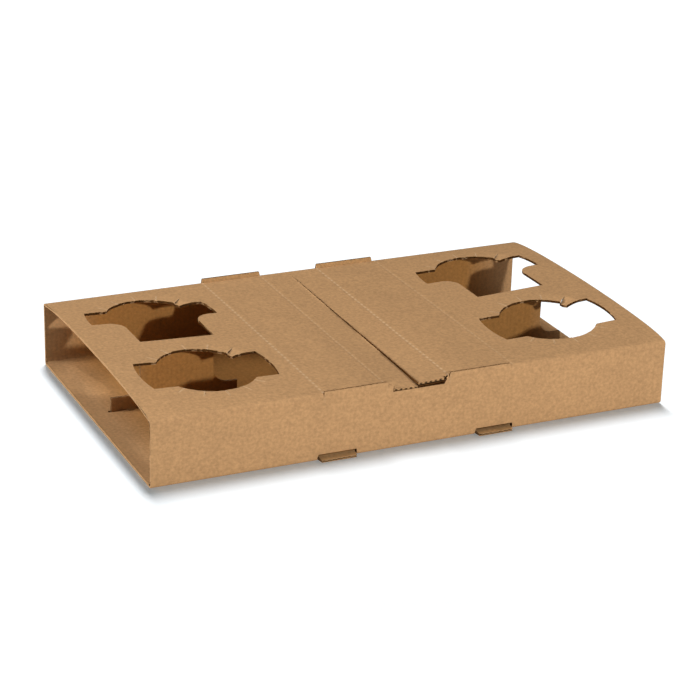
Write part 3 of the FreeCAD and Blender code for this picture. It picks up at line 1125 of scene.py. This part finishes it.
outer_paper = kraft("kraft_outer", (0.50, 0.283, 0.127), 0.008, perforated=True)
# The inner paper is darker and more saturated than the outer: painted shade inside the sleeve. The tab paper
# is the same paper painted as lit, for the inner side of the tabs and tongues.
inner_paper_shaded = kraft("kraft_inner_shaded", (0.41, 0.193, 0.052), 0.024, lit_end_colour=(0.47, 0.268, 0.122))
tab_paper_lit = kraft("kraft_tab_lit", (0.5, 0.29, 0.125), 0.024)
edge_paper = kraft("kraft_edge", (0.46, 0.262, 0.118))
# Comb paper is dark with strong flute bands: painted shade and light of the open flutes at the strip ends.
comb_shade_paper = kraft("kraft_comb_shade", (0.25, 0.14, 0.06), 0.85)
# Dark edge paper: painted shade on cut edges in slots, gaps and torn places.
edge_shade_paper = kraft("kraft_edge_shade", (0.12, 0.05, 0.012))
# Cavity paper is dark, for the fluted medium and the faces inside the board: painted shade of the flute
# tunnels.
cavity_shade_paper = kraft("kraft_cavity_shade", (0.13, 0.06, 0.022))

# The pieces.

liner_skin = build_skin(LINER_STEP, True)
flute_skin = build_skin(FLUTE_PITCH / FLUTE_COLUMNS, False)
made = [
    layer("outer_liner", liner_skin, level(0.0), level(LINER),
          (outer_paper, cavity_shade_paper, edge_paper, edge_shade_paper, edge_paper, cavity_shade_paper)),
    layer("inner_liner", liner_skin, beaded(BOARD - LINER), beaded(BOARD),
          (cavity_shade_paper, inner_paper_shaded, edge_paper, edge_shade_paper, edge_shade_paper, tab_paper_lit)),
    layer("fluted_medium", flute_skin, medium_side(-1), medium_side(1),
          (cavity_shade_paper, cavity_shade_paper, edge_paper, edge_shade_paper, comb_shade_paper, cavity_shade_paper)),
]
for piece in made:
    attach(piece, "root")
    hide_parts("carrier_sleeve")
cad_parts["carrier_sleeve"].data.materials.clear()
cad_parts["carrier_sleeve"].data.materials.append(outer_paper)

# The floor. It lies a hair below the base.
FLOOR_HALF = 6
FLOOR_Z = -0.0002
floor = bpy.data.objects.new("floor", bpy.data.meshes.new("floor"))
corners = [(x, y, FLOOR_Z) for x, y in rectangle(-FLOOR_HALF, FLOOR_HALF, -FLOOR_HALF, FLOOR_HALF)]
floor.data.from_pydata(corners, [], [(0, 1, 2, 3)])
floor.data.materials.append(paper_floor())
bpy.context.scene.collection.objects.link(floor)


def collection_of(name, members):
    group = bpy.data.collections.new(name)
    for member in members:
        group.objects.link(member)
    return group


def softbox(name, place, aim, width, depth, power, receivers):
    """A soft oval lamp that lights only the receivers."""
    data = bpy.data.lights.new(name, "AREA")
    data.shape = "ELLIPSE"
    data.size = width
    data.size_y = depth
    data.energy = power
    lamp = bpy.data.objects.new(name, data)
    bpy.context.scene.collection.objects.link(lamp)
    lamp.location = place
    lamp.rotation_euler = (Vector(aim) - Vector(place)).to_track_quat("-Z", "Y").to_euler()
    lamp.light_linking.receiver_collection = receivers


# The small key lamp stands to the right of the camera, the side box to the left and the low box in front.
# The long box overhead and its twin for the floor alone give the narrow soft shadow at the front and left.
# That box aims a hair behind the point below it, which settles how it is turned.
OVERHEAD = dict(place=(0.33, 1.22, 4.0), aim=(0.33, 1.2201, 0), width=0.7, depth=2.3)
lit_card = collection_of("lit_card", made)
lit_floor = collection_of("lit_floor", [floor])
softbox("key", (0.32, -2.06, 0.84), (0, 0, 0.03), 0.10, 0.10, 25.0, lit_card)
softbox("side", (-1.6, 0.3, 0.9), (0, 0, 0.02), 0.9, 0.9, 32.5, lit_card)
softbox("above", power=36.0, receivers=lit_card, **OVERHEAD)
softbox("low", (0.1, -1.6, 0.1), (0, 0, 0.02), 1.2, 0.3, 5.3, lit_card)
softbox("wash", power=195.0, receivers=lit_floor, **OVERHEAD)

# The world gives a little light, and is white for the camera.
WORLD_LIGHT = 0.08
world = bpy.data.worlds.new("studio")
bpy.context.scene.world = world
world.use_nodes = True
tree = world.node_tree
back = tree.nodes["Background"]
back.inputs["Color"].default_value = (1, 1, 1, 1)
path = tree.nodes.new("ShaderNodeLightPath")
strength = tree.nodes.new("ShaderNodeMapRange")
for socket, number in zip(strength.inputs[1:5], (0.0, 1.0, WORLD_LIGHT, 1.0)):
    socket.default_value = number
tree.links.new(path.outputs["Is Camera Ray"], strength.inputs[0])
tree.links.new(strength.outputs[0], back.inputs["Strength"])

# The camera: where it stands round the point it aims at, and its lens in pixels of the picture.
AZIMUTH, ELEVATION, ROLL = -25.26625, 22.02253, 1.62036
AIM = (0.027669, 0.05450655, 0.0)
DISTANCE = 1.4974242
FOCAL_PX = 2226.99963
SHIFT_PX = (-2.995, -1.746)
PICTURE_PX = 700
SENSOR = 36
azimuth, elevation, roll = (math.radians(v) for v in (AZIMUTH, ELEVATION, ROLL))
flat = math.cos(elevation)
toward = Vector((math.sin(azimuth) * flat, -math.cos(azimuth) * flat, math.sin(elevation)))
right = Vector((0, 0, 1)).cross(toward).normalized()
up = toward.cross(right)
right, up = right * math.cos(roll) + up * math.sin(roll), up * math.cos(roll) - right * math.sin(roll)
camera = bpy.data.objects.new("camera", bpy.data.cameras.new("camera"))
bpy.context.scene.collection.objects.link(camera)
pose = Matrix((right, up, toward)).transposed().to_4x4()
pose.translation = Vector(AIM) + toward * DISTANCE
camera.matrix_world = pose
camera.data.sensor_width = SENSOR
camera.data.lens = SENSOR * FOCAL_PX / PICTURE_PX
camera.data.shift_x = SHIFT_PX[0] / PICTURE_PX
camera.data.shift_y = SHIFT_PX[1] / PICTURE_PX
camera.data.clip_start = 0.05
camera.data.clip_end = 50
bpy.context.scene.camera = camera
bpy.context.scene.view_settings.view_transform = "Standard"
